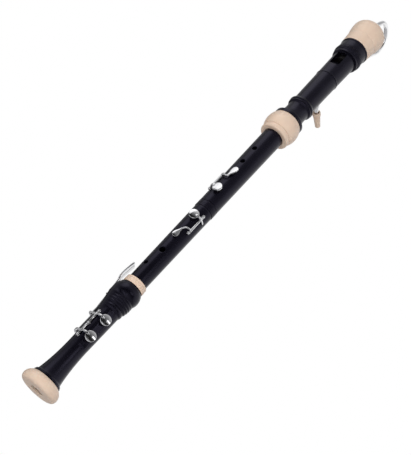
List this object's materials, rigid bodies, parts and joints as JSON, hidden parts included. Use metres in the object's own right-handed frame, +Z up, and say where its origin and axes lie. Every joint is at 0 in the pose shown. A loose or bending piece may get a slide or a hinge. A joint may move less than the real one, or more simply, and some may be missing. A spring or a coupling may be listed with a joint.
{
  "type": "bass recorder",
  "caption": "Bass recorder in jointed sections with turned rings, sprung hole keys, levered foot keys, cap, bent metal bocal and mouthpiece.",
  "frame": {"origin": "centre of the bell's end face, where the bore opens", "axes": "+Z up the bore towards the head; -Y the way the finger holes face; +X the side of the index finger key"},
  "size_m": [0.0674, 0.1167, 0.9923],
  "materials": {
    "black": "satin black moulded plastic",
    "ivory": "satin ivory-coloured plastic",
    "plating": "polished nickel plating",
    "spring": "spring steel",
    "cork": "cork sheet",
    "block": "brown plastic",
    "pad": "tan skin over felt"
  },
  "bodies": {
    "foot": {"bell_ring": "ivory", "foot_joint": "black", "foot_socket_ring": "ivory", "foot_post_low": "plating", "foot_post_middle": "plating", "foot_post_high": "plating", "foot_hinge_rod": "plating", "lever_bracket": "plating", "lever_pin": "plating", "lever_bracket_screw_low": "plating", "lever_bracket_screw_high": "plating"},
    "low_pad_key": {"low_key": "plating", "low_key_pad": "pad", "low_key_spring": "spring"},
    "high_pad_key": {"high_key": "plating", "high_key_pad": "pad", "high_key_spring": "spring"},
    "low_touch": {"low_lever": "plating"},
    "high_touch": {"high_lever": "plating"},
    "lower": {"lower_body": "black", "foot_tenon_cork": "cork", "hole4_key_post_low": "plating", "hole4_key_post_high": "plating", "hole4_key_rod": "plating", "thumb_rest": "black", "thumb_rest_screw": "plating", "strap_eye": "plating"},
    "index_key": {"hole4_key": "plating", "hole4_key_pad": "pad", "hole4_key_spring": "spring"},
    "strap_loop": {"strap_ring": "plating"},
    "upper": {"upper_body": "black", "middle_tenon_cork": "cork", "head_tenon_cork": "cork", "hole3_key_post_low": "plating", "hole3_key_post_high": "plating", "hole3_key_rod": "plating"},
    "ring_key": {"hole3_key": "plating", "hole3_key_pad": "pad", "hole3_key_spring": "spring"},
    "head": {"head_joint": "black", "head_socket_ring": "ivory", "block": "block", "cap_tenon_cork": "cork"},
    "cap": {"head_cap": "ivory", "bocal_socket": "plating"},
    "bocal": {"bocal_tube": "plating", "bocal_cork": "cork", "mouthpiece_cork": "cork"},
    "mouth_end": {"mouthpiece": "ivory"}
  },
  "joints": [
    {"name": "foot_turn", "type": "hinge", "parent": "foot", "child": "lower", "pos_m": [0, 0, 0.2273], "axis": [0, 0, 1], "continuous": true},
    {"name": "middle_turn", "type": "hinge", "parent": "lower", "child": "upper", "pos_m": [0, 0, 0.4113], "axis": [0, 0, 1], "continuous": true},
    {"name": "head_tuning_slide", "type": "slide", "parent": "upper", "child": "head", "axis": [0, 0, 1], "range_m": [0, 0.012]},
    {"name": "cap_slide", "type": "slide", "parent": "head", "child": "cap", "axis": [0, 0, 1], "range_m": [0, 0.012]},
    {"name": "bocal_swivel", "type": "hinge", "parent": "cap", "child": "bocal", "pos_m": [0, 0, 0.9431], "axis": [0, 0, 1], "continuous": true},
    {"name": "mouthpiece_slide", "type": "slide", "parent": "bocal", "child": "mouth_end", "axis": [0, 1, 0], "range_m": [0, 0.009]},
    {"name": "ring_key_hinge", "type": "hinge", "parent": "upper", "child": "ring_key", "pos_m": [-0.01193, -0.01704, 0.454], "axis": [0, 0, 1], "range_deg": [0, 10], "stiffness_Nm_per_rad": 0.02, "springref_deg": -20.05},
    {"name": "index_key_hinge", "type": "hinge", "parent": "lower", "child": "index_key", "pos_m": [0.01576, -0.01231, 0.3625], "axis": [0, 0, -1], "range_deg": [0, 10], "stiffness_Nm_per_rad": 0.02, "springref_deg": -20.05},
    {"name": "low_lever_hinge", "type": "hinge", "parent": "foot", "child": "low_touch", "pos_m": [-0.02127, -0.00313, 0.1813], "axis": [-0.309, 0.9511, 0], "range_deg": [0, 3.06]},
    {"name": "high_lever_hinge", "type": "hinge", "parent": "foot", "child": "high_touch", "pos_m": [-0.01905, -0.00997, 0.1813], "axis": [-0.309, 0.9511, 0], "range_deg": [0, 3.68]},
    {"name": "low_key_hinge", "type": "hinge", "parent": "foot", "child": "low_pad_key", "pos_m": [-0.00264, -0.01881, 0.107], "axis": [0, 0, 1], "range_deg": [0, 11], "stiffness_Nm_per_rad": 0.02, "springref_deg": -20.05},
    {"name": "high_key_hinge", "type": "hinge", "parent": "foot", "child": "high_pad_key", "pos_m": [-0.00264, -0.01881, 0.141], "axis": [0, 0, 1], "range_deg": [0, 11], "stiffness_Nm_per_rad": 0.02, "springref_deg": -20.05},
    {"name": "strap_ring_swing", "type": "hinge", "parent": "lower", "child": "strap_loop", "pos_m": [-0.00804, 0.02208, 0.3493], "axis": [0.9397, 0.342, 0], "range_deg": [-10, 100]}
  ],
  "couplings": [
    {"joint": "low_key_hinge", "follows": "low_lever_hinge", "ratio": 3.5935},
    {"joint": "high_key_hinge", "follows": "high_lever_hinge", "ratio": 2.9899}
  ]
}
